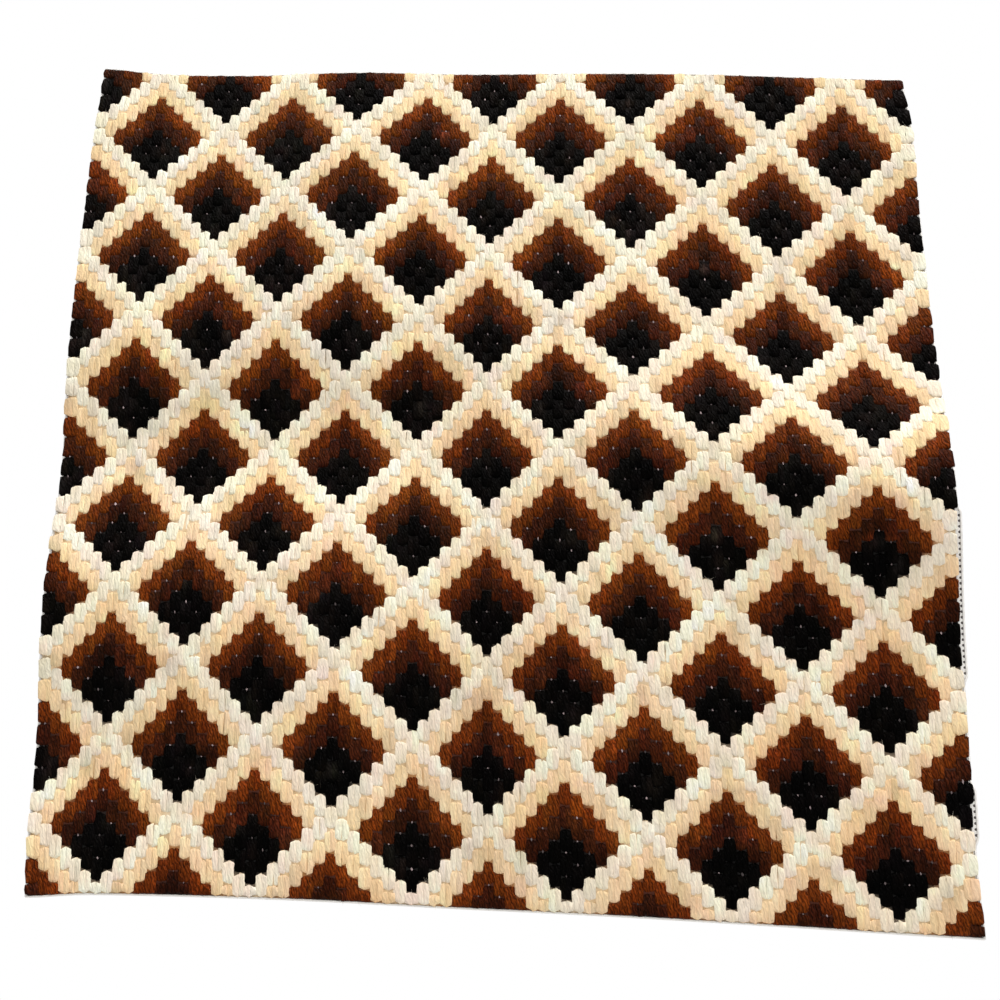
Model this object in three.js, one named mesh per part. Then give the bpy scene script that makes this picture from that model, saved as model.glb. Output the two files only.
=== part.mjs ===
// A square of bargello canvaswork, worked all over in wool and hung by its top edge.
// The canvas and the stitches on both its faces move as one soft sheet, so they are one solid.
// Millimetres. X runs to the right and Z runs up for someone who faces the worked front.
// The front looks along -Y, and the origin is the middle of the top edge, where the sheet is held.
import * as THREE from 'three';

const threadPitch = { across: 2.54, down: 2.51 }; // from one canvas thread to the next
const workedThreads = { across: 166, down: 168 }; // threads that the stitches cover
const bareEdge = 3.2; // unworked canvas outside the last stitches
const thickness = 3; // canvas with the wool on both its faces
const cells = { across: 36, down: 36 }; // facets of each face

const half = {
  across: (workedThreads.across * threadPitch.across) / 2,
  down: (workedThreads.down * threadPitch.down) / 2,
};

// How the whole sheet hangs. Forward is towards the front.
const hang = {
  twist: 3.5, // the top right and bottom left corners stand forward, the other two stand back
  bow: 13.5, // the middle stands in front of the top and bottom edges
  lean: 8.5, // the bottom edge is drawn to the right, and the top edge to the left
  sideDrop: 2.5, // the side edges hang lower than the middle
  tightening: 0.8, // the middle columns are drawn together, most at tightReach from the centre line
  tightReach: 25,
};

// Soft ridges and hollows left by the stitching and by being folded away.
// across and down place the centre, from -1 to 1 over the worked sheet. The reaches and rise are in
// millimetres. turn is in degrees, and a ridge with a positive turn runs down to the right.
const swells = [
  { across: 0.95, down: 0.05, reachAcross: 185, reachDown: 45, turn: 8, rise: 17 },
  { across: -0.55, down: 0, reachAcross: 155, reachDown: 43, turn: -8, rise: -12.5 },
  { across: -0.35, down: -0.7, reachAcross: 40, reachDown: 95, turn: 0, rise: 5.5 },
  { across: -0.1, down: 0.95, reachAcross: 42, reachDown: 160, turn: 0, rise: -7.5 },
  { across: -1.2, down: 0.7, reachAcross: 135, reachDown: 44, turn: 0, rise: -8.5 },
  { across: 0.55, down: -0.4, reachAcross: 300, reachDown: 125, turn: 0, rise: -8 },
];

// Places where the tension of the stitches draws the canvas out of square, in its own plane.
const pulls = [
  { across: 0.8, down: -0.2, reach: 105, right: 2.5, up: -6 },
  { across: -1.35, down: -0.9, reach: 140, right: -3, up: 9.5 },
  { across: -0.55, down: 0.35, reach: 140, right: -0.5, up: 3.5 },
  { across: 0.5, down: -0.35, reach: 175, right: -4.5, up: 1.5 },
  { across: 1.05, down: -0.8, reach: 100, right: -1.5, up: -6 },
  // the four corners
  { across: -1, down: -1, reach: 22, right: 0.2, up: 3.2 },
  { across: 1, down: -1, reach: 16, right: -3.2, up: 0 },
  { across: -1, down: 1, reach: 18, right: 1.6, up: -1.6 },
  { across: 1, down: 1, reach: 18, right: 1.8, up: 0.2 },
];

// across and down run from -1 to 1 over the worked sheet, and a little further over the bare edge.
function forwardAt(across, down) {
  let forward = -hang.twist * across * down - hang.bow * down ** 2;
  for (const swell of swells) {
    const right = (across - swell.across) * half.across;
    const below = (down - swell.down) * half.down;
    const turn = THREE.MathUtils.degToRad(swell.turn);
    const along = (right * Math.cos(turn) + below * Math.sin(turn)) / swell.reachAcross;
    const beside = (below * Math.cos(turn) - right * Math.sin(turn)) / swell.reachDown;
    forward += swell.rise * Math.exp(-(along ** 2) - beside ** 2);
  }
  return forward;
}

function middleAt(across, down) {
  const tight = (across * half.across) / hang.tightReach;
  let right = across * half.across + hang.lean * down;
  right -= hang.tightening * tight * Math.exp((1 - tight ** 2) / 2);
  let up = -down * half.down - hang.sideDrop * across ** 2;
  for (const pull of pulls) {
    const away = Math.hypot((across - pull.across) * half.across, (down - pull.down) * half.down);
    const share = Math.exp(-((away / pull.reach) ** 2));
    right += pull.right * share;
    up += pull.up * share;
  }
  return new THREE.Vector3(right, -forwardAt(across, down), up);
}

const edge = { across: 1 + bareEdge / half.across, down: 1 + bareEdge / half.down };
const heldPoint = middleAt(0, -edge.down);

// side is 1 on the worked front and -1 on the back.
function faceAt(across, down, side) {
  const step = 0.002;
  const rightward = middleAt(across + step, down).sub(middleAt(across - step, down));
  const downward = middleAt(across, down + step).sub(middleAt(across, down - step));
  const outward = downward.cross(rightward).normalize();
  return middleAt(across, down).sub(heldPoint).addScaledVector(outward, (side * thickness) / 2);
}

function sheetGeometry() {
  const columns = cells.across + 1;
  const faceSize = columns * (cells.down + 1);
  const positions = [];
  for (const side of [1, -1]) {
    for (let row = 0; row <= cells.down; row += 1) {
      for (let column = 0; column <= cells.across; column += 1) {
        const across = edge.across * ((2 * column) / cells.across - 1);
        const down = edge.down * ((2 * row) / cells.down - 1);
        positions.push(...faceAt(across, down, side).toArray());
      }
    }
  }
  const index = [];
  for (let row = 0; row < cells.down; row += 1) {
    for (let column = 0; column < cells.across; column += 1) {
      const topLeft = row * columns + column;
      const bottomLeft = topLeft + columns;
      index.push(topLeft, bottomLeft, bottomLeft + 1, topLeft, bottomLeft + 1, topLeft + 1);
      const back = [topLeft, bottomLeft + 1, bottomLeft, topLeft, topLeft + 1, bottomLeft + 1];
      index.push(...back.map((corner) => corner + faceSize));
    }
  }
  const rim = rimOf(columns);
  rim.forEach((here, place) => {
    const next = rim[(place + 1) % rim.length];
    index.push(here, here + faceSize, next + faceSize, here, next + faceSize, next);
  });
  const geometry = new THREE.BufferGeometry();
  geometry.setAttribute('position', new THREE.Float32BufferAttribute(positions, 3));
  geometry.setIndex(index);
  geometry.computeVertexNormals();
  return geometry;
}

// The outline of a face as vertex numbers: down the left side, along the bottom, up and back.
function rimOf(columns) {
  const rim = [];
  const bottom = cells.down * columns;
  for (let row = 0; row < cells.down; row += 1) {
    rim.push(row * columns);
  }
  for (let column = 0; column < cells.across; column += 1) {
    rim.push(bottom + column);
  }
  for (let row = cells.down; row > 0; row -= 1) {
    rim.push(row * columns + cells.across);
  }
  for (let column = cells.across; column > 0; column -= 1) {
    rim.push(column);
  }
  return rim;
}

const wool = new THREE.MeshStandardMaterial({ color: 0xe8cfa6, roughness: 0.95, metalness: 0 });

const panel = new THREE.Mesh(sheetGeometry(), wool);
panel.name = 'panel';

const hanging = new THREE.Group();
hanging.add(panel);

export default hanging;
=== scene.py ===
import math

import bmesh
import bpy
import numpy as np
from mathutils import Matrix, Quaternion, Vector


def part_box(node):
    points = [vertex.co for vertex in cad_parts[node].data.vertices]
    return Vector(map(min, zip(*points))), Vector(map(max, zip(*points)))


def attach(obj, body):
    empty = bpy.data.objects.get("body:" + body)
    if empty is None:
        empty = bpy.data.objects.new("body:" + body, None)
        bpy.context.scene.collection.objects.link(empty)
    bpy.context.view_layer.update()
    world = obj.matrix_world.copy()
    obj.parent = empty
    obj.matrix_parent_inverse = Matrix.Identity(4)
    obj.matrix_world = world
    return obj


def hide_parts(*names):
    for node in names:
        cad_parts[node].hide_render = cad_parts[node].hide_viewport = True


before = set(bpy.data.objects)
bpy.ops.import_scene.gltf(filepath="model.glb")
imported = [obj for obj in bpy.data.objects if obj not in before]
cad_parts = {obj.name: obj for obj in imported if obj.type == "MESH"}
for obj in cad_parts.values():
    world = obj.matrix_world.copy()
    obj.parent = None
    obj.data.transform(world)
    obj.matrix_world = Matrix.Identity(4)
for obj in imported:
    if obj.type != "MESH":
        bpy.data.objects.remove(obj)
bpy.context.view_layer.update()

panelLow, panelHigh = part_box("panel")
chance = np.random.default_rng(1975)

# The sheet, with the same folds as the solid, in metres.
sheetShape = {
    "threadsAcross": 166,
    "threadsDown": 168,
    "pitchAcross": 0.00254,
    "pitchDown": 0.00251,
    "bareEdge": 0.0032,
    "twist": 0.0035,
    "bow": 0.0135,
    "lean": 0.0085,
    "sideDrop": 0.0025,
    "tightening": 0.0008,
    "tightReach": 0.025,
    "slopeStep": 0.002,  # share of the half size over which its slope is measured
    "swells": [
        {"across": 0.95, "down": 0.05, "reachAcross": 0.185, "reachDown": 0.045, "turn": 8, "rise": 0.017},
        {"across": -0.55, "down": 0, "reachAcross": 0.155, "reachDown": 0.043, "turn": -8, "rise": -0.0125},
        {"across": -0.35, "down": -0.7, "reachAcross": 0.04, "reachDown": 0.095, "turn": 0, "rise": 0.0055},
        {"across": -0.1, "down": 0.95, "reachAcross": 0.042, "reachDown": 0.16, "turn": 0, "rise": -0.0075},
        {"across": -1.2, "down": 0.7, "reachAcross": 0.135, "reachDown": 0.044, "turn": 0, "rise": -0.0085},
        {"across": 0.55, "down": -0.4, "reachAcross": 0.3, "reachDown": 0.125, "turn": 0, "rise": -0.008},
    ],
    "pulls": [
        {"across": 0.8, "down": -0.2, "reach": 0.105, "right": 0.0025, "up": -0.006},
        {"across": -1.35, "down": -0.9, "reach": 0.14, "right": -0.003, "up": 0.0095},
        {"across": -0.55, "down": 0.35, "reach": 0.14, "right": -0.0005, "up": 0.0035},
        {"across": 0.5, "down": -0.35, "reach": 0.175, "right": -0.0045, "up": 0.0015},
        {"across": 1.05, "down": -0.8, "reach": 0.1, "right": -0.0015, "up": -0.006},
        # the four corners
        {"across": -1, "down": -1, "reach": 0.022, "right": 0.0002, "up": 0.0032},
        {"across": 1, "down": -1, "reach": 0.016, "right": -0.0032, "up": 0},
        {"across": -1, "down": 1, "reach": 0.018, "right": 0.0016, "up": -0.0016},
        {"across": 1, "down": 1, "reach": 0.018, "right": 0.0018, "up": 0.0002},
    ],
}
threadsAcross = sheetShape["threadsAcross"]
threadsDown = sheetShape["threadsDown"]
pairsAcross = threadsAcross // 2
halfAcross = threadsAcross * sheetShape["pitchAcross"] / 2
halfDown = threadsDown * sheetShape["pitchDown"] / 2


def middleOfSheet(across, down):  # shares of the worked half size, from -1 to 1
    forward = -sheetShape["twist"] * across * down - sheetShape["bow"] * down**2
    for swell in sheetShape["swells"]:
        right = (across - swell["across"]) * halfAcross
        below = (down - swell["down"]) * halfDown
        turn = math.radians(swell["turn"])
        along = (right * math.cos(turn) + below * math.sin(turn)) / swell["reachAcross"]
        beside = (below * math.cos(turn) - right * math.sin(turn)) / swell["reachDown"]
        forward = forward + swell["rise"] * np.exp(-(along**2) - beside**2)
    tight = across * halfAcross / sheetShape["tightReach"]
    right = across * halfAcross + sheetShape["lean"] * down
    right = right - sheetShape["tightening"] * tight * np.exp((1 - tight**2) / 2)
    up = -down * halfDown - sheetShape["sideDrop"] * across**2
    for pull in sheetShape["pulls"]:
        away = np.hypot((across - pull["across"]) * halfAcross, (down - pull["down"]) * halfDown)
        share = np.exp(-((away / pull["reach"]) ** 2))
        right = right + pull["right"] * share
        up = up + pull["up"] * share
    return np.stack([right, -forward, up], axis=-1)


heldPoint = middleOfSheet(np.zeros(1), np.full(1, -1 - sheetShape["bareEdge"] / halfDown))[0]


def onSheet(column, row, out):  # threads from the top left corner, and metres in front of the canvas
    across = 2 * np.asarray(column, float) / threadsAcross - 1
    down = 2 * np.asarray(row, float) / threadsDown - 1
    step = sheetShape["slopeStep"]
    rightward = middleOfSheet(across + step, down) - middleOfSheet(across - step, down)
    downward = middleOfSheet(across, down + step) - middleOfSheet(across, down - step)
    outward = np.cross(downward, rightward)
    outward /= np.linalg.norm(outward, axis=-1, keepdims=True)
    return middleOfSheet(across, down) - heldPoint + outward * np.asarray(out, float)[..., None]


# The chart: each pair of columns steps two threads from the next.
chart = {
    "motifPairs": 14,  # pairs of columns before the diamonds repeat
    "motifThreads": 28,
    "stitchThreads": 4,
    "stepThreads": 2,
    "firstPeak": -16,  # thread at the top of the first diamond
    "shades": ["white", "cream", "brown", "darkBrown", "black"],
}
halfMotif = chart["motifPairs"] // 2
firstDark = chart["shades"].index("brown")


def shadeAt(pair, row):  # the yarn at a row of a pair of columns, as a place in the chart's shades
    for motif in range(-1, pairsAcross // halfMotif + 3):  # the columns of diamonds, and one beyond each side
        away = abs(pair + 1 - motif * halfMotif)
        if away > halfMotif:
            continue
        shift = (motif % 2) * chart["motifThreads"] // 2
        top = chart["firstPeak"] + shift + chart["stepThreads"] * away
        below = (row - top) % chart["motifThreads"]
        if below < chart["motifThreads"] - 2 * chart["stepThreads"] * away:
            return min(int(below // chart["stitchThreads"]), len(chart["shades"]) - 1)
    return 0


def stitchList():  # column, first row, last row and shade of every stitch
    stitches = []
    for column in range(threadsAcross):
        pair = column // 2
        first = 0 if pair % 2 else chart["stepThreads"] - chart["stitchThreads"]
        for start in range(first, threadsDown, chart["stitchThreads"]):
            top = max(start, 0)
            bottom = min(start + chart["stitchThreads"], threadsDown)
            stitches.append((column, top, bottom, shadeAt(pair, (top + bottom) / 2)))
    return np.array(stitches, float)


def gridTemplate(segmentsAcross, segmentsAlong):  # corners from -1 to 1 both ways, and their faces
    work = bmesh.new()
    bmesh.ops.create_grid(work, x_segments=segmentsAcross, y_segments=segmentsAlong, size=1)
    work.verts.index_update()
    corners = np.array([vert.co[:2] for vert in work.verts])
    faces = np.array([[vert.index for vert in face.verts] for face in work.faces])
    work.free()
    return corners, faces


def tubeTemplate(sides, rings):  # a closed tube: the angle and the place from 0 to 1 of each corner
    work = bmesh.new()
    bmesh.ops.create_cone(work, segments=sides, radius1=1, radius2=1, depth=2, cap_ends=True)
    rails = [edge for edge in work.edges if abs(edge.verts[0].co.z - edge.verts[1].co.z) > 1]
    bmesh.ops.subdivide_edges(work, edges=rails, cuts=rings - 2, use_grid_fill=True)
    bmesh.ops.triangulate(work, faces=work.faces[:])
    work.verts.index_update()
    places = np.array([vert.co[:] for vert in work.verts])
    faces = np.array([[vert.index for vert in face.verts] for face in work.faces])
    work.free()
    return np.arctan2(places[:, 1], places[:, 0]), places[:, 2] / 2 + 0.5, faces


def joinedMesh(name, points, faces, uv, relief, dye):  # arrays of copies x corners
    copies, corners = points.shape[:2]
    allFaces = (faces[None] + (np.arange(copies) * corners)[:, None, None]).reshape(-1, faces.shape[1])
    mesh = bpy.data.meshes.new(name)
    mesh.vertices.add(copies * corners)
    mesh.vertices.foreach_set("co", points.reshape(-1))
    mesh.loops.add(allFaces.size)
    mesh.loops.foreach_set("vertex_index", allFaces.reshape(-1).astype(np.int32))
    mesh.polygons.add(len(allFaces))
    mesh.polygons.foreach_set("loop_start", np.arange(len(allFaces), dtype=np.int32) * faces.shape[1])
    mesh.polygons.foreach_set("use_smooth", np.ones(len(allFaces), bool))
    layer = mesh.uv_layers.new(name="yarn")
    layer.data.foreach_set("uv", uv.reshape(-1, 2)[allFaces.reshape(-1)].reshape(-1))
    mesh.attributes.new("relief", "FLOAT", "POINT").data.foreach_set("value", relief.reshape(-1))
    colours = np.concatenate([dye.reshape(-1, 3), np.ones((copies * corners, 1))], axis=1)
    mesh.attributes.new("dye", "FLOAT_COLOR", "POINT").data.foreach_set("color", colours.reshape(-1))
    mesh.update(calc_edges=True)
    mesh.validate()
    piece = bpy.data.objects.new(name, mesh)
    bpy.context.collection.objects.link(piece)
    return piece


def finishPiece(piece, material):
    piece.data.materials.append(material)
    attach(piece, "root")
    return piece


def addSocket(group, name, kind, inward):
    side = "INPUT" if inward else "OUTPUT"
    group.interface.new_socket(name=name, in_out=side, socket_type="NodeSocket" + kind)


def feed(links, value, socket):
    if isinstance(value, (int, float, tuple)):
        socket.default_value = value
    else:
        links.new(value, socket)


def mathNode(tree, operation, *values):
    node = tree.nodes.new("ShaderNodeMath")
    node.operation = operation
    for value, socket in zip(values, node.inputs):
        feed(tree.links, value, socket)
    return node.outputs[0]


def mixNode(tree, factor, first, second, blend="MIX"):
    node = tree.nodes.new("ShaderNodeMix")
    node.data_type = "RGBA"
    node.blend_type = blend
    for value, name in ((factor, "Factor_Float"), (first, "A_Color"), (second, "B_Color")):
        feed(tree.links, value, next(socket for socket in node.inputs if socket.identifier == name))
    return next(socket for socket in node.outputs if socket.identifier == "Result_Color")


def noiseNode(tree, place, detail):
    node = tree.nodes.new("ShaderNodeTexNoise")
    node.noise_dimensions = "2D"
    node.inputs["Scale"].default_value = 1
    node.inputs["Detail"].default_value = detail
    tree.links.new(place, node.inputs["Vector"])
    return node.outputs["Fac"]


def stretched(tree, across, along, scaleAcross, scaleAlong):
    node = tree.nodes.new("ShaderNodeCombineXYZ")
    tree.links.new(mathNode(tree, "MULTIPLY", across, scaleAcross), node.inputs[0])
    tree.links.new(mathNode(tree, "MULTIPLY", along, scaleAlong), node.inputs[1])
    return node.outputs[0]


twistedYarn = {  # scales are marks to a thread, across and along the yarn
    "halfWidth": 0.57,  # threads
    "length": 60,  # threads of yarn, from which each stitch takes its marks
    "plyWidth": 0.58,
    "fibreScale": (6.5, 0.9),
    "wanderScale": (1.8, 0.9),
    "wander": 1.4,  # plies by which the line between them wanders
    "grooveShadowPower": 2.2,  # power of the painted shadow that darkens the dye down between the stitches
    "fibreHeight": 0.5,
    "plyHeight": 0.7,
}


def buildYarnGroup():
    look = twistedYarn
    group = bpy.data.node_groups.new("twistedYarn", "ShaderNodeTree")
    addSocket(group, "Along Yarn", "Vector", True)
    addSocket(group, "Dye", "Color", True)
    for name in ("Relief", "Twist", "Ply Contrast", "Fibre Contrast", "Groove Shadow"):
        addSocket(group, name, "Float", True)
    addSocket(group, "Colour", "Color", False)
    addSocket(group, "Height", "Float", False)
    given = group.nodes.new("NodeGroupInput").outputs
    result = group.nodes.new("NodeGroupOutput").inputs
    parts = group.nodes.new("ShaderNodeSeparateXYZ")
    group.links.new(given["Along Yarn"], parts.inputs[0])
    along = parts.outputs[1]
    across = mathNode(group, "MULTIPLY_ADD", along, given["Twist"], parts.outputs[0])
    fibres = noiseNode(group, stretched(group, across, along, *look["fibreScale"]), 2)
    wander = noiseNode(group, stretched(group, parts.outputs[0], along, *look["wanderScale"]), 1)
    place = mathNode(group, "DIVIDE", across, look["plyWidth"])
    place = mathNode(group, "MULTIPLY_ADD", wander, look["wander"], place)
    slope = mathNode(group, "MULTIPLY", mathNode(group, "PINGPONG", place, 0.5), 2)
    # the next two lines round the plies and the grooves between them
    steep = mathNode(group, "MULTIPLY_ADD", slope, -2, 3)
    ply = mathNode(group, "MULTIPLY", mathNode(group, "MULTIPLY", slope, slope), steep)
    # the plies also change the colour: a painted shadow in the grooves between them and a painted highlight
    # on their tops; the fibres add a random tone
    fibreGain = mathNode(group, "MULTIPLY", mathNode(group, "SUBTRACT", fibres, 0.5), given["Fibre Contrast"])
    plyGain = mathNode(group, "MULTIPLY", mathNode(group, "SUBTRACT", ply, 0.5), given["Ply Contrast"])
    gain = mathNode(group, "ADD", 1, mathNode(group, "ADD", fibreGain, plyGain))
    # painted shadow: where the relief is low, down between the stitches and at their ends, the dye is mixed
    # toward a darker copy of itself
    deep = group.nodes.new("ShaderNodeGamma")
    group.links.new(given["Dye"], deep.inputs["Color"])
    deep.inputs["Gamma"].default_value = look["grooveShadowPower"]
    shown = mathNode(group, "MINIMUM", given["Relief"], 1)
    hidden = mathNode(group, "MULTIPLY", mathNode(group, "SUBTRACT", 1, shown), given["Groove Shadow"])
    shaded = mixNode(group, hidden, given["Dye"], deep.outputs[0])
    grey = group.nodes.new("ShaderNodeCombineColor")
    for socket in grey.inputs:
        group.links.new(gain, socket)
    group.links.new(mixNode(group, 1.0, shaded, grey.outputs[0], "MULTIPLY"), result["Colour"])
    plyHeight = mathNode(group, "MULTIPLY", ply, look["plyHeight"])
    height = mathNode(group, "MULTIPLY_ADD", fibres, look["fibreHeight"], plyHeight)
    group.links.new(height, result["Height"])
    return group


def linearColour(srgb):
    parts = [value / 255 for value in srgb]
    return [value / 12.92 if value <= 0.04045 else ((value + 0.055) / 1.055) ** 2.4 for value in parts]


def yarnMaterial(name, group, look):
    material = bpy.data.materials.new(name)
    material.use_nodes = True
    tree = material.node_tree
    shader = tree.nodes["Principled BSDF"]
    shader.inputs["Roughness"].default_value = look["roughness"]
    shader.inputs["Specular IOR Level"].default_value = look["specular"]
    shader.inputs["Sheen Weight"].default_value = look["sheen"]
    shader.inputs["Sheen Roughness"].default_value = 0.5
    place = tree.nodes.new("ShaderNodeUVMap")
    place.uv_map = "yarn"
    yarn = tree.nodes.new("ShaderNodeGroup")
    yarn.node_tree = group
    tree.links.new(place.outputs[0], yarn.inputs["Along Yarn"])
    for attribute, output, socket in (("relief", "Fac", "Relief"), ("dye", "Color", "Dye")):
        node = tree.nodes.new("ShaderNodeAttribute")
        node.attribute_name = attribute
        tree.links.new(node.outputs[output], yarn.inputs[socket])
    yarn.inputs["Twist"].default_value = look["twist"]
    yarn.inputs["Ply Contrast"].default_value = look["ply"]
    yarn.inputs["Fibre Contrast"].default_value = look["fibre"]
    yarn.inputs["Groove Shadow"].default_value = look["grooveShadow"]
    bump = tree.nodes.new("ShaderNodeBump")
    bump.inputs["Strength"].default_value = 0.8
    bump.inputs["Distance"].default_value = look["bump"]
    tree.links.new(yarn.outputs["Height"], bump.inputs["Height"])
    tree.links.new(bump.outputs[0], shader.inputs["Normal"])
    tree.links.new(yarn.outputs["Colour"], shader.inputs["Base Color"])
    return material


yarnGroup = buildYarnGroup()

# The canvas. Heights are metres in front of its middle, and the rest is in threads.
canvas = {
    "groundThickness": 0.0004,
    "groundOut": -0.00035,
    "filledOut": 0.0007,  # the height to which the softest fibres fill the holes
    "beyondColumns": (0.4, 0.4),  # bare canvas to the left and right of the stitches
    "beyondRows": (0.5, 0.3),  # and above and below them
    "colour": (252, 251, 248),
    "fill": (0.8, 0.78, 0.75, 0.75, 0.6),  # the share of each shade's light left inside the holes
    "fillStray": 0.12,
    "fillWarmth": (1.06, 0.96, 0.83),  # light passed between yarns comes out warmer
    "softness": (1, 1, 0.7, 0.6, 0.2),  # how far the fibres of each shade fill the holes
    # painted shadow seen through the holes beside the stitches, darker along the runs that gape
    "holeShadowColour": (214, 209, 204),
    "openHoleShadowColour": (84, 78, 78),
    "holeRadius": 0.24,
    "holeShift": 0.2,  # the holes beside the last column are drawn outward
    "openRuns": [(109, 14.5), (147.5, 4)],  # middle and half length, in rows, of the runs that gape
    "runFade": 1.5,  # rows over which the canvas closes again past a run
    "openReach": 0.65,  # how far the edge is drawn out along those runs
    "threadInset": 0.1,  # from the cut edge to the last thread
    "rightInset": 0.05,  # and the same at the right
    "threadSides": 6,
    "threadHalfWidth": 0.19,
    "threadHalfHeight": 0.00036,
    "threadOut": 0.0001,
    "weave": 0.0002,
}


def openShare(row):  # 1 along the runs of open holes beside the last column, and 0 away from them
    falloff = canvas["runFade"]
    runs = [np.clip((half + falloff - np.abs(row - middle)) / falloff, 0, 1) for middle, half in canvas["openRuns"]]
    return np.maximum(*runs)


def drawnOut(column, row):  # where a bare column lies once the canvas is drawn out
    return column + canvas["openReach"] * openShare(row) * (column > threadsAcross)


# Two dye lots of each yarn, in sRGB. The stitches stray from them and the wool is mottled, in light, red
# and blue. From the top left to the bottom right the yarn is darker, a painted falloff of light and sheen,
# and its red and blue change with a painted change in the light's colour.
yarns = {
    "white": {
        "dye": (252, 242, 222), "otherDye": (251, 238, 214),
        "stray": (0.04, 0.009, 0.014), "mottle": (0.1, 0.026, 0.036), "falloff": 0,
        "turn": (0.05, -0.03),
    },
    "cream": {
        "dye": (249, 222, 181), "otherDye": (246, 214, 167),
        "stray": (0.045, 0.01, 0.016), "mottle": (0.105, 0.028, 0.042), "falloff": 0.06,
        "turn": (0.045, 0),
    },
    "brown": {
        "dye": (118, 57, 14), "otherDye": (105, 44, 9),
        "stray": (0.1, 0.03, 0.06), "mottle": (0.21, 0.05, 0.14), "falloff": 0.2,
        "turn": (0.12, 0.2),
    },
    "darkBrown": {
        "dye": (66, 28, 10), "otherDye": (57, 24, 8),
        "stray": (0.16, 0.05, 0.1), "mottle": (0.36, 0.08, 0.2), "falloff": 0.25,
        "turn": (0.08, 0.15),
    },
    # the black's wide stray and mottle are random tone and partly painted glints on its fibres
    "black": {
        "dye": (8, 6, 5), "otherDye": (6, 4, 3),
        "stray": (0.35, 0.06, 0.1), "mottle": (1.0, 0.1, 0.15), "falloff": 1.2,
        "turn": (0, 0),
    },
}
yarnLooks = {
    "light": {
        "sheen": 0.05, "specular": 0.2, "roughness": 0.9,
        "twist": -0.2, "ply": 0.15, "fibre": 0.28, "grooveShadow": 0.25, "bump": 0.00022,
    },
    "dark": {
        "sheen": 0.01, "specular": 0.04, "roughness": 0.55,
        "twist": -0.35, "ply": 0.9, "fibre": 2.1, "grooveShadow": 0.5, "bump": 0.0008,
    },
    "black": {
        "sheen": 0.004, "specular": 0.025, "roughness": 0.55,
        "twist": -0.42, "ply": 0.6, "fibre": 1.8, "grooveShadow": 0.5, "bump": 0.0006,
    },
    "back": {
        "sheen": 0.02, "specular": 0.12, "roughness": 0.9,
        "twist": -0.42, "ply": 0.3, "fibre": 0.4, "grooveShadow": 0.5, "bump": 0.0006,
    },
}
frontStitch = {  # a pair of columns reads as one soft block, so its stitches fall less on the inner side
    "segmentsAcross": 6,
    "segmentsAlong": 6,
    "height": 0.00155,
    "endDistance": [0.0, 0.16, 0.6],  # threads from the hole, for each row but the middle one
    "rise": [0.08, 0.56, 0.92, 1.0],  # shares of the height, from the end to the middle
    "innerWidth": [0.46, 0.52, 0.56, 0.57],  # threads from the middle of the column to its side
    "outerWidth": [0.42, 0.53, 0.6, 0.64],
    "widthStray": 0.03,
    "innerFall": 0.3,  # share of the height lost at the side
    "outerFall": 0.5,
    "crownStray": 0.15,  # how far the highest line wanders off the middle
    "overlap": 0.03,  # threads by which the ends pass the row of holes
    "cutBack": 0.3,  # threads by which their outer corners stay short of it
    "cutStray": 0.3,
    "cutCurve": 1.6,
    "secondCut": 0.6,  # share of it at the row after the end
    "endShadow": (0, 0, 0),  # how far a painted shadow darkens the ends in red, green and blue, where the yarn dives into the hole
    "sway": 0.06,  # threads by which the middle stands to one side
    "endSway": 0.04,  # and by which the ends stand to opposite sides
    "wobble": 0.05,  # threads by which the sides wander between the ends
    "endStray": 0.05,  # threads by which the ends stray along the column
    "endShadowStray": 0.3,
    "heightStray": 0.05,
    "edgeSpread": 0.16,  # threads by which the outermost stitches bulge outward
    "closedSpread": 0.22,  # more of it where the holes beside the last column do not gape
    "topReach": 0.3,  # threads by which the first stitches reach over the top
}
lightStitch = {  # the light yarns are softer, so their ends and sides stand higher
    **frontStitch,
    "height": 0.0013,
    "rise": [0.55, 0.84, 0.96, 1.0],
    "cutBack": 0.45,
    "endShadow": (0.07, 0.17, 0.3),
    "innerWidth": [0.47, 0.53, 0.55, 0.56],
    "outerWidth": [0.45, 0.56, 0.62, 0.64],
    "innerFall": 0.26,
    "outerFall": 0.16,
    "endStray": 0.1,
    "endShadowStray": 0.8,
    "heightStray": 0.09,
}

dyeing = {
    "lotPlaces": (14, 14),  # over the sheet, where the share of the two lots is drawn
    "lotStray": 0.15,
    "mottlePlaces": (70, 70),  # and where the mottle is
    "pairShare": 0.5,  # of the stray, the same for both stitches of a pair
    "ownShare": 0.85,
    "mostStray": 1.8,
    "greenShare": 0.4,  # of the change in red, by which green goes the other way
    "cornerAcross": 0.3,  # what counts as the way from the top left corner to the bottom right
    "cornerDown": 0.7,
    "darkest": 0.0003,
    "lightest": 0.98,
}


def driftAt(column, row, seeds):  # a slow change over the sheet, as the yarn changes along its length
    most = 0.999  # just short of the last place
    across = np.clip(column / threadsAcross, 0, most) * (seeds.shape[0] - 1)
    down = np.clip(row / threadsDown, 0, most) * (seeds.shape[1] - 1)
    i, j = across.astype(int), down.astype(int)
    right, below = across - i, down - j
    upper = seeds[i, j] * (1 - right) + seeds[i + 1, j] * right
    lower = seeds[i, j + 1] * (1 - right) + seeds[i + 1, j + 1] * right
    return upper * (1 - below) + lower * below


pairStray = chance.normal(0, 1, (pairsAcross, threadsDown // chart["stitchThreads"] + 1, 3))
lotSeeds = chance.uniform(0, 1, dyeing["lotPlaces"])
mottleSeeds = chance.normal(0, 1, (3, *dyeing["mottlePlaces"]))  # for light, red and blue


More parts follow.
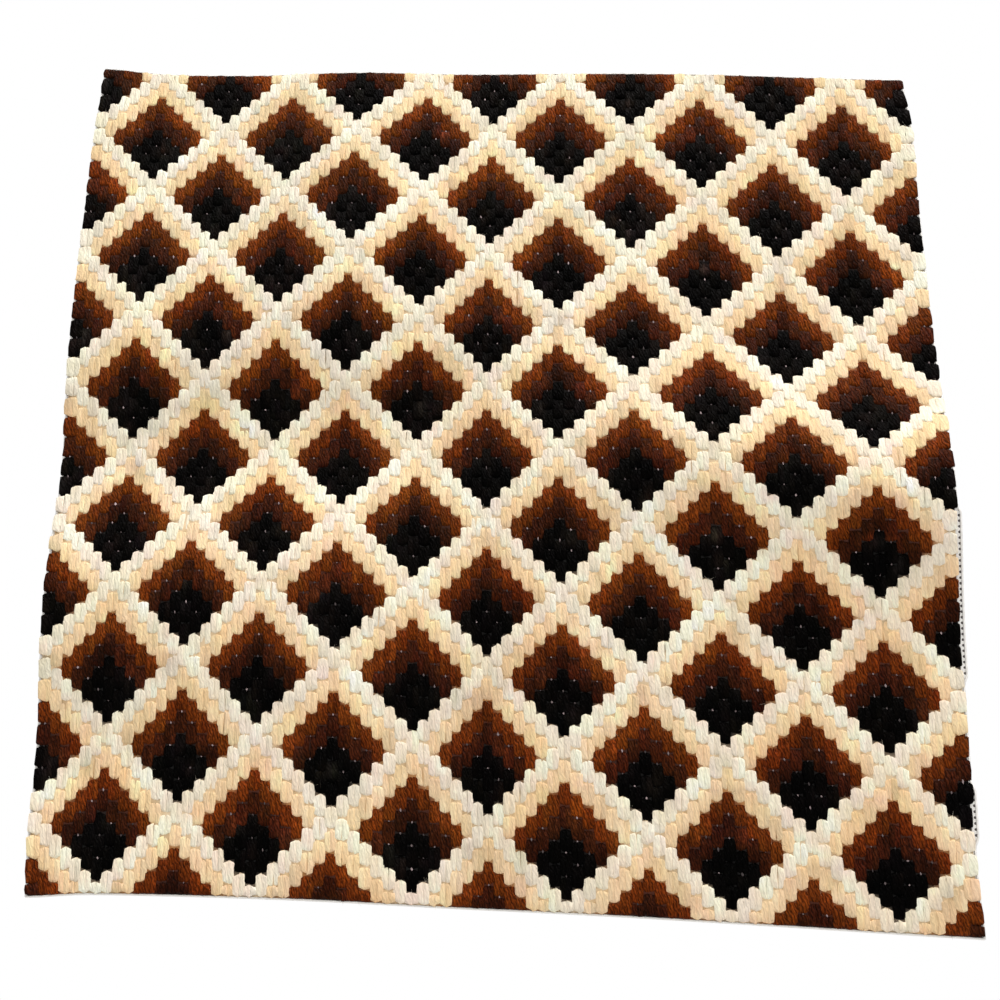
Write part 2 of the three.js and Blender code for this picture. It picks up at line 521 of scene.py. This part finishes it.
def stitchDyes(chosen, column, row):  # the colour at each place on the chosen stitches
    looks = [yarns[name] for name in chart["shades"]]
    kind = chosen[:, 3].astype(int)

    def ofKind(key):
        return np.array([look[key] for look in looks])[kind][:, None]

    lots = np.array([[linearColour(look["dye"]), linearColour(look["otherDye"])] for look in looks])[kind]
    drift = driftAt(column, row, lotSeeds) + chance.normal(0, dyeing["lotStray"], (len(chosen), 1))
    share = np.clip(drift, 0, 1)[..., None]
    pairs, places = (chosen[:, 0] // 2).astype(int), (chosen[:, 1] // chart["stitchThreads"]).astype(int)
    own = chance.normal(0, 1, (len(chosen), 3))
    stray = (dyeing["pairShare"] * pairStray[pairs, places] + dyeing["ownShare"] * own)[:, None]
    stray = np.clip(stray, -dyeing["mostStray"], dyeing["mostStray"])
    mottle = np.stack([driftAt(column, row, seeds) for seeds in mottleSeeds], axis=-1)
    stray = stray * ofKind("stray") + mottle * ofKind("mottle")
    # painted falloff of light and sheen: the yarn darkens from the top left to the bottom right, and its red
    # and blue turn with a painted change in the light's colour
    corner = dyeing["cornerAcross"] * column / threadsAcross + dyeing["cornerDown"] * row / threadsDown
    corner = corner - (dyeing["cornerAcross"] + dyeing["cornerDown"]) / 2
    light = stray[..., 0] - corner * ofKind("falloff")
    red, blue = [stray[..., 1 + part] + corner * ofKind("turn")[..., part] for part in (0, 1)]
    gains = np.exp(np.stack([light + red, light - dyeing["greenShare"] * red, light + blue], axis=-1))
    dyes = lots[:, None, 0] * share + lots[:, None, 1] * (1 - share)
    return np.clip(dyes * gains, dyeing["darkest"], dyeing["lightest"])


def frontStitches(chosen, shape):
    corners, faces = gridTemplate(shape["segmentsAcross"], shape["segmentsAlong"])
    s, v = corners[None, :, 0], corners[None, :, 1]
    count = len(chosen)

    def vary(spread, middle=0.0):
        return chance.normal(middle, spread, (count, 1))

    column, top, bottom = chosen[:, 0:1], chosen[:, 1:2], chosen[:, 2:3]
    top = np.where(top == 0, -shape["topReach"], top)
    half = (bottom - top) / 2
    ends = np.array(shape["endDistance"])[None] * np.minimum(1, 2 * half / chart["stitchThreads"])
    stations = np.concatenate([ends, half], axis=1)
    place = np.round((1 - np.abs(corners[:, 1])) * len(shape["endDistance"])).astype(int)
    distance = stations[:, place]
    row = np.where(v > 0, top + distance, bottom - distance)
    lean = (1 - distance / half) * np.sign(v)  # from 1 at the top end to -1 at the bottom end
    inward = s * np.where(column % 2 == 0, 1, -1)  # 1 at the side toward the other column of the pair
    innerWidth, outerWidth = np.array(shape["innerWidth"])[place], np.array(shape["outerWidth"])[place]
    width = np.where(inward > 0, innerWidth, outerWidth) * vary(shape["widthStray"], 1)
    sway = vary(shape["sway"]) * (1 - lean**2) + vary(shape["endSway"]) * lean
    station = np.round((corners[:, 1] + 1) * shape["segmentsAlong"] / 2).astype(int)
    sway = sway + chance.normal(0, shape["wobble"], (count, shape["segmentsAlong"] + 1))[:, station]
    outer = (column == threadsAcross - 1) * 1.0 - (column == 0) * 1.0
    closed = 1 - openShare(top) * (outer > 0)
    spread = outer * (shape["edgeSpread"] + shape["closedSpread"] * closed) * (1 + outer * s) / 2
    x = column + 0.5 + s * width + spread + sway
    cut = shape["cutBack"] * vary(shape["cutStray"], 1) * ((1 - inward) / 2) ** shape["cutCurve"]
    gap = cut * ((place == 0) + shape["secondCut"] * (place == 1)) - shape["overlap"]
    topStray, bottomStray = vary(shape["endStray"]), vary(shape["endStray"])
    y = row + np.sign(v) * gap + np.where(v > 0, topStray, bottomStray) * np.abs(lean)
    fall = np.where(inward > 0, shape["innerFall"], shape["outerFall"])
    dome = 1 - fall * (0.5 * s**2 + 0.5 * s**6) + vary(shape["crownStray"]) * s * (1 - s**2)
    relief = np.array(shape["rise"])[place][None] * dome
    out = shape["height"] * vary(shape["heightStray"], 1) * relief
    start = chance.uniform(0, twistedYarn["length"], (count, 1))
    uv = np.stack([s * twistedYarn["halfWidth"] + 0.5 + 0 * x, y - top + start], axis=-1)
    # painted shadow on the end row of each stitch, fading out toward its outer corner
    shadow = np.where(v > 0, vary(shape["endShadowStray"], 1), vary(shape["endShadowStray"], 1))
    shadow = np.clip(shadow, 0, 2) * (place == 0) * np.clip(1 + inward, 0, 1)
    shaded = 1 - np.array(shape["endShadow"]) * shadow[..., None]
    return onSheet(x, y, out), faces, uv, relief + 0 * x, stitchDyes(chosen, x, y) * shaded


stitches = stitchList()
print("stitches charted:", len(stitches))
for number, shade in enumerate(chart["shades"]):
    chosen = stitches[stitches[:, 3] == number]
    light = number < firstDark
    shape = lightStitch if light else frontStitch
    piece = joinedMesh("wool" + shade[0].upper() + shade[1:], *frontStitches(chosen, shape))
    look = yarnLooks["light" if light else "black" if shade == "black" else "dark"]
    finishPiece(piece, yarnMaterial(piece.name, yarnGroup, look))
    print("front wool:", piece.name, len(chosen), "stitches", len(piece.data.polygons) * 2, "triangles")

# The wool on the back: each yarn slants behind to the top of the next stitch.
backStitch = {
    "segmentsAcross": 3,
    "segmentsAlong": 4,
    "height": 0.00145,
    "halfWidth": 0.6,
    "rise": [0.3, 0.92, 1.0, 0.92, 0.3],
    "endWidth": 0.65,  # share of the width that the flat ends keep
    "roundness": 0.65,  # share of the height that is lost toward the sides
    "leadStray": 0.05,
    "slant": 0.25,
    "heightStray": 0.06,
}


def backStitches(chosen, shape):
    corners, faces = gridTemplate(shape["segmentsAcross"], shape["segmentsAlong"])
    u, v = corners[None, :, 0], corners[None, :, 1]
    count = len(chosen)
    column, top, bottom = chosen[:, 0:1], chosen[:, 1:2], chosen[:, 2:3]
    step = chart["stepThreads"] * np.where((column // 2 // halfMotif) % 2 == 0, -1, 1)
    nextTop = np.where(column % 2 == 0, top, top + step)
    nextColumn = np.minimum(column + 1, threadsAcross - 1)
    nextTop = np.clip(nextTop, 0, threadsDown)
    share = (v + 1) / 2
    place = np.round((corners[:, 1] + 1) * shape["segmentsAlong"] / 2).astype(int)
    rise = np.array(shape["rise"])[None, place]
    lead = chance.normal(0, shape["leadStray"], (count, 1))
    width = shape["halfWidth"] * (shape["endWidth"] + (1 - shape["endWidth"]) * rise)
    x = column + 0.5 + (nextColumn - column) * share + u * width + lead
    y = bottom + (nextTop - bottom) * share + shape["slant"] * u
    dome = 1 - shape["roundness"] * (1 - np.sqrt(1 - 0.9 * u**2))
    relief = rise * dome * chance.normal(1, shape["heightStray"], (count, 1))
    out = -shape["height"] * relief
    start = chance.uniform(0, twistedYarn["length"], (count, 1))
    uv = np.stack([u / 2 + 0.5 + 0 * x, share * chart["stitchThreads"] + start], axis=-1)
    return onSheet(x, y, out), faces[:, ::-1], uv, relief + 0 * x, stitchDyes(chosen, x, y)


backPiece = joinedMesh("woolBack", *backStitches(stitches, backStitch))
finishPiece(backPiece, yarnMaterial("woolBack", yarnGroup, yarnLooks["back"]))
print("back wool:", len(stitches), "yarns", len(backPiece.data.polygons) * 2, "triangles")


def filledHoles(column, row):  # the colour and height of the wool that fills the holes of the canvas; the colour is the wool's own with a painted shade in the holes
    near = [shadeAt((column + right) // 2, row + down) for right in (-1, 1) for down in (-1, 1)]
    dyes = [np.array(linearColour(yarns[chart["shades"][shade]]["otherDye"])) for shade in near]
    # the mean of the logs makes the painted shade lean to the darker yarn, a painted shadow line where light
    # and dark yarns meet
    depths = [np.log(dye * canvas["fill"][shade]) for dye, shade in zip(dyes, near)]
    colour = np.exp(np.mean(depths, axis=0)) * canvas["fillWarmth"] * chance.normal(1, canvas["fillStray"])
    colour = np.clip(colour, 0, 0.98)
    soft = np.mean([canvas["softness"][shade] for shade in near])
    return colour, canvas["groundOut"] + (canvas["filledOut"] - canvas["groundOut"]) * soft


def buildGround():
    before, after = canvas["beyondColumns"]
    columns = np.array([-before, *range(0, threadsAcross + 1, 2), threadsAcross + after])
    before, after = canvas["beyondRows"]
    rows = np.array([-before, *range(0, threadsDown + 1, 2), threadsDown + after])
    work = bmesh.new()
    bmesh.ops.create_grid(work, x_segments=len(columns) - 1, y_segments=len(rows) - 1, size=1)
    uvLayer = work.loops.layers.uv.new("threads")
    dyeLayer = work.loops.layers.float_color.new("dye")
    bare = [*linearColour(canvas["colour"]), 1]
    spots = {}
    for vert in work.verts:
        column = columns[round((vert.co.x + 1) * (len(columns) - 1) / 2)]
        row = rows[round((1 - vert.co.y) * (len(rows) - 1) / 2)]
        spots[vert] = (column, row, *filledHoles(column, row))
    for face in work.faces:
        middle = np.mean([spots[vert][:2] for vert in face.verts], axis=0)
        worked = 0 < middle[0] < threadsAcross and 0 < middle[1] < threadsDown
        for loop in face.loops:
            column, row, filled, out = spots[loop.vert]
            loop[uvLayer].uv = (drawnOut(column, row), row)
            loop[dyeLayer] = [*filled, 1] if worked else bare
    for vert, (column, row, filled, out) in spots.items():
        inside = 0 < column < threadsAcross and 0 < row < threadsDown
        vert.co = onSheet(drawnOut(column, row), row, out if inside else canvas["groundOut"])
    mesh = bpy.data.meshes.new("canvasGround")
    work.to_mesh(mesh)
    work.free()
    piece = bpy.data.objects.new("canvasGround", mesh)
    bpy.context.collection.objects.link(piece)
    solid = piece.modifiers.new("thickness", "SOLIDIFY")
    solid.thickness = canvas["groundThickness"]
    solid.offset = 0
    return piece


def cottonMaterial(name):
    material = bpy.data.materials.new(name)
    material.use_nodes = True
    tree = material.node_tree
    dye = tree.nodes.new("ShaderNodeAttribute")
    dye.name = "Dye"
    dye.attribute_name = "dye"
    tree.links.new(dye.outputs["Color"], tree.nodes["Principled BSDF"].inputs["Base Color"])
    tree.nodes["Principled BSDF"].inputs["Roughness"].default_value = 0.8
    return material


def groundMaterial():  # the dye of each corner, with a painted shadow in each mesh hole outside the worked area
    material = cottonMaterial("cottonGround")
    tree = material.node_tree
    place = tree.nodes.new("ShaderNodeUVMap")
    place.uv_map = "threads"
    parts = tree.nodes.new("ShaderNodeSeparateXYZ")
    tree.links.new(place.outputs[0], parts.inputs[0])
    onRight = mathNode(tree, "GREATER_THAN", parts.outputs[0], threadsAcross)
    moved = mathNode(tree, "MULTIPLY_ADD", onRight, -canvas["holeShift"], parts.outputs[0])
    across = mathNode(tree, "SUBTRACT", mathNode(tree, "FRACT", moved), 0.5)
    down = mathNode(tree, "PINGPONG", parts.outputs[1], 0.5)
    squares = mathNode(tree, "ADD", mathNode(tree, "POWER", across, 2), mathNode(tree, "POWER", down, 2))
    hole = mathNode(tree, "LESS_THAN", squares, canvas["holeRadius"] ** 2)
    onLeft = mathNode(tree, "LESS_THAN", parts.outputs[0], 0)
    hole = mathNode(tree, "MULTIPLY", hole, mathNode(tree, "MAXIMUM", onLeft, onRight))
    inRun = [mathNode(tree, "COMPARE", parts.outputs[1], *run) for run in canvas["openRuns"]]
    openness = mathNode(tree, "MULTIPLY", onRight, mathNode(tree, "MAXIMUM", *inRun))
    # the painted shadow seen through the holes, darker along the runs that gape
    depths = [(*linearColour(canvas[key]), 1) for key in ("holeShadowColour", "openHoleShadowColour")]
    shown = mixNode(tree, hole, tree.nodes["Dye"].outputs["Color"], mixNode(tree, openness, *depths))
    tree.links.new(shown, tree.nodes["Principled BSDF"].inputs["Base Color"])
    return material


def tubes(starts, ends, rings, weave, across):  # thread places; across is the way the threads run
    angle, share, faces = tubeTemplate(canvas["threadSides"], rings)
    starts, ends = np.array(starts, float)[:, None], np.array(ends, float)[:, None]
    place = starts + (ends - starts) * share[None, :, None]
    side = canvas["threadHalfWidth"] * np.sin(angle)[None]
    height = canvas["threadOut"] + canvas["threadHalfHeight"] * np.cos(angle)[None] + weave(place)
    column = drawnOut(place[..., 0], place[..., 1]) + (0 if across else 1) * side
    row = place[..., 1] + (1 if across else 0) * side
    uv = np.stack([angle[None] / (2 * math.pi) + 0 * column, place[..., 0 if across else 1]], axis=-1)
    dye = linearColour(canvas["colour"]) * np.ones((*column.shape, 1))
    return onSheet(column, row, height), faces, uv, np.ones(column.shape), dye


def overUnder(place, sign):  # the threads pass over and under each other at every crossing
    return sign * canvas["weave"] * np.cos(math.pi * (place[..., 0] + place[..., 1] - 0.5))


def joinedPiece(name, parts):
    pieces = [joinedMesh(name + str(number), *part) for number, part in enumerate(parts)]
    with bpy.context.temp_override(active_object=pieces[0], selected_editable_objects=pieces):
        bpy.ops.object.join()
    pieces[0].name = name
    return pieces[0]


inset, rightInset = canvas["threadInset"], canvas["rightInset"]
(beyondLeft, beyondRight), (beyondTop, beyondBottom) = canvas["beyondColumns"], canvas["beyondRows"]
edgeColumns = (inset - beyondLeft, threadsAcross + beyondRight - rightInset)
edgeRows = (inset - beyondTop, threadsDown + beyondBottom - inset)
edgeParts = [
    tubes(
        [(column, edgeRows[0]) for column in edgeColumns],
        [(column, edgeRows[1]) for column in edgeColumns],
        2 * threadsDown,
        lambda place: overUnder(place, 1),
        False,
    ),
    tubes(
        [(edgeColumns[0], row) for row in edgeRows],
        [(edgeColumns[1], row) for row in edgeRows],
        2 * threadsAcross,
        lambda place: overUnder(place, -1),
        True,
    ),
]
canvasEdge = finishPiece(joinedPiece("canvasEdge", edgeParts), cottonMaterial("cottonThread"))
print("canvas edge:", len(canvasEdge.data.polygons), "triangles")

knuckle = {
    "halfWidth": 0.15,  # threads
    "widthStray": 0.2,
    "halfLength": 0.58,
    "lengthStray": 0.25,
    "height": 0.00112,
    "heightStray": 0.2,
    "sideFall": 0.5,  # share of the height lost at the sides
    "endFall": 0.9,
    "share": 0.62,  # of the crossings that show between dark stitches
    "colour": (206, 184, 186),
    "shade": (0.1, 0.95),  # how far the stitches over them leave them in the light
}


def buildKnuckles():  # the upright canvas threads, where four stitch ends of a pair of columns meet
    corners, faces = gridTemplate(2, 2)
    u, v = corners[None, :, 0], corners[None, :, 1]
    inner = stitches[(stitches[:, 0] % 2 == 0) & (stitches[:, 1] > 0) & (stitches[:, 3] >= firstDark)]
    above = np.array([shadeAt(int(column // 2), row - 1) for column, row in inner[:, :2]])
    inner = inner[(above >= firstDark) & (chance.uniform(0, 1, len(inner)) < knuckle["share"])]
    column, row = inner[:, 0:1] + 1, inner[:, 1:2]
    count = len(inner)
    height = knuckle["height"] * chance.normal(1, knuckle["heightStray"], (count, 1))
    bulge = (1 - knuckle["sideFall"] * u**2) * (1 - knuckle["endFall"] * v**2)
    x = column + u * knuckle["halfWidth"] * chance.normal(1, knuckle["widthStray"], (count, 1))
    y = row + v * knuckle["halfLength"] * chance.normal(1, knuckle["lengthStray"], (count, 1))
    uv = np.stack([u / 2 + 0 * x, y], axis=-1)
    dark, light = knuckle["shade"]
    lit = dark + (light - dark) * chance.uniform(0, 1, (count, 1, 1)) ** 2
    dye = linearColour(knuckle["colour"]) * lit * np.ones((*x.shape, 1))
    return onSheet(x, y, height * bulge), faces, uv, np.ones(x.shape), dye


knuckles = finishPiece(joinedMesh("canvasKnuckles", *buildKnuckles()), cottonMaterial("cottonKnuckle"))
print("canvas knuckles:", len(knuckles.data.polygons) * 2, "triangles")

fuzz = {  # stray fibres
    "hairs": 14000,
    "length": (0.4, 1.2),  # threads
    "width": 0.00008,
    "taper": 0.7,  # share of the width lost at the tip
    "rootAcross": 0.4,  # threads from the middle of a stitch within which the hairs leave it
    "rootAlong": (0.02, 0.98),  # share of its length
    "lift": 0.0005,
    "leastLift": 0.3,
    "arch": 2.2,  # radians of the arch that a hair follows
    "rootShare": 0.8,  # of the stitch height, where the hairs leave the yarn
    "bend": 0.5,  # radians by which they turn aside along their length
}


def buildFuzz():  # short hairs that stand off the yarn, in the colour of the stitch they leave
    corners, faces = gridTemplate(1, 3)
    side, share = corners[None, :, 0], (corners[None, :, 1] + 1) / 2
    chosen = stitches[chance.integers(0, len(stitches), fuzz["hairs"])]
    count = len(chosen)
    column = chosen[:, 0:1] + 0.5 + chance.uniform(-fuzz["rootAcross"], fuzz["rootAcross"], (count, 1))
    row = chosen[:, 1:2] + (chosen[:, 2:3] - chosen[:, 1:2]) * chance.uniform(*fuzz["rootAlong"], (count, 1))
    turn = chance.uniform(0, 2 * math.pi, (count, 1)) + fuzz["bend"] * chance.normal(0, 1, (count, 1)) * share
    length = chance.uniform(*fuzz["length"], (count, 1))
    half = fuzz["width"] / 2 / sheetShape["pitchAcross"] * (1 - fuzz["taper"] * share) * side
    x = column + length * share * np.cos(turn) - half * np.sin(turn)
    y = row + length * share * np.sin(turn) + half * np.cos(turn)
    lift = fuzz["lift"] * chance.uniform(fuzz["leastLift"], 1, (count, 1)) * np.sin(fuzz["arch"] * share)
    out = frontStitch["height"] * fuzz["rootShare"] + lift
    uv = np.stack([side + 0 * x, share * chart["stitchThreads"] + 0 * x], axis=-1)
    piece = joinedMesh("woolFuzz", onSheet(x, y, out), faces, uv, np.ones(x.shape), stitchDyes(chosen, x, y))
    print("stray fibres:", len(piece.data.polygons) * 2, "triangles")
    return finishPiece(piece, yarnMaterial("woolFuzz", yarnGroup, yarnLooks["light"]))


buildFuzz()

ground = finishPiece(buildGround(), groundMaterial())
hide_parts("panel")
print("canvas ground made")

view = {
    "lens": 57.6,
    "distance": 0.75611,
    "azimuth": 6.466,
    "elevation": -17.657,
    "roll": -2.995,
    "aim": (0.00509, 0.004, -0.02561),  # from the middle of the panel
}


def placeCamera():
    azimuth, elevation = math.radians(view["azimuth"]), math.radians(view["elevation"])
    level = Vector((math.sin(azimuth), -math.cos(azimuth), 0))
    back = level * math.cos(elevation) + Vector((0, 0, math.sin(elevation)))
    data = bpy.data.cameras.new("camera")
    data.lens = view["lens"]
    data.sensor_width = 36
    data.clip_start = 0.01
    camera = bpy.data.objects.new("camera", data)
    camera.location = (panelLow + panelHigh) / 2 + Vector(view["aim"]) + back * view["distance"]
    camera.rotation_mode = "QUATERNION"
    roll = Quaternion(back, math.radians(-view["roll"]))
    camera.rotation_quaternion = roll @ (-back).to_track_quat("-Z", "Y")
    bpy.context.collection.objects.link(camera)
    bpy.context.scene.camera = camera


studio = {
    "worldLight": 0.235,
    "lamps": {
        "high": {"place": (1.1, -1.25, 3.8), "size": 2.4, "power": 206, "colour": (1, 0.96, 0.945)},
        "front": {"place": (0.3, -2.2, 0.4), "size": 1.0, "power": 16.5, "colour": (1, 0.96, 0.9)},
        "rear": {"place": (0.5, 1.9, 0.8), "size": 1.5, "power": 26, "colour": (1, 1, 1)},
    },
    "floorDrop": 1.35,
    "floorSize": 4,
    "floorColour": (0.9, 0.9, 0.89, 1),
    "floorGlow": 0.6,  # seen by the camera only, so that the floor meets the white behind it
}


def addLamp(name, place, size, power, colour):
    data = bpy.data.lights.new(name, "AREA")
    data.size = size
    data.energy = power
    data.color = colour
    lamp = bpy.data.objects.new(name, data)
    lamp.location = place
    target = (panelLow + panelHigh) / 2
    lamp.rotation_mode = "QUATERNION"
    lamp.rotation_quaternion = (target - Vector(place)).to_track_quat("-Z", "Y")
    bpy.context.collection.objects.link(lamp)


def buildWorld():
    world = bpy.data.worlds.new("studio")
    bpy.context.scene.world = world
    world.use_nodes = True
    tree = world.node_tree
    tree.nodes.clear()
    rays = tree.nodes.new("ShaderNodeLightPath")
    seen = mathNode(tree, "MAXIMUM", rays.outputs["Is Camera Ray"], rays.outputs["Is Transmission Ray"])
    strength = mathNode(tree, "MULTIPLY_ADD", seen, 1 - studio["worldLight"], studio["worldLight"])
    background = tree.nodes.new("ShaderNodeBackground")
    background.inputs[0].default_value = (1, 1, 1, 1)
    tree.links.new(strength, background.inputs[1])
    output = tree.nodes.new("ShaderNodeOutputWorld")
    tree.links.new(background.outputs[0], output.inputs[0])


def buildFloor():
    work = bmesh.new()
    bmesh.ops.create_grid(work, x_segments=1, y_segments=1, size=studio["floorSize"])
    bmesh.ops.translate(work, verts=work.verts, vec=(0, 0, panelLow.z - studio["floorDrop"]))
    mesh = bpy.data.meshes.new("floor")
    work.to_mesh(mesh)
    work.free()
    floor = bpy.data.objects.new("floor", mesh)
    bpy.context.collection.objects.link(floor)
    material = bpy.data.materials.new("paleFloor")
    material.use_nodes = True
    tree = material.node_tree
    shader = tree.nodes["Principled BSDF"]
    shader.inputs["Base Color"].default_value = studio["floorColour"]
    shader.inputs["Roughness"].default_value = 0.9
    shader.inputs["Emission Color"].default_value = (1, 1, 1, 1)
    rays = tree.nodes.new("ShaderNodeLightPath")
    glow = mathNode(tree, "MULTIPLY", rays.outputs["Is Camera Ray"], studio["floorGlow"])
    tree.links.new(glow, shader.inputs["Emission Strength"])
    mesh.materials.append(material)


placeCamera()
for lampName, lamp in studio["lamps"].items():
    addLamp(lampName, **lamp)
buildWorld()
buildFloor()
bpy.context.scene.view_settings.view_transform = "Standard"
print("camera, lamps, world and floor made")
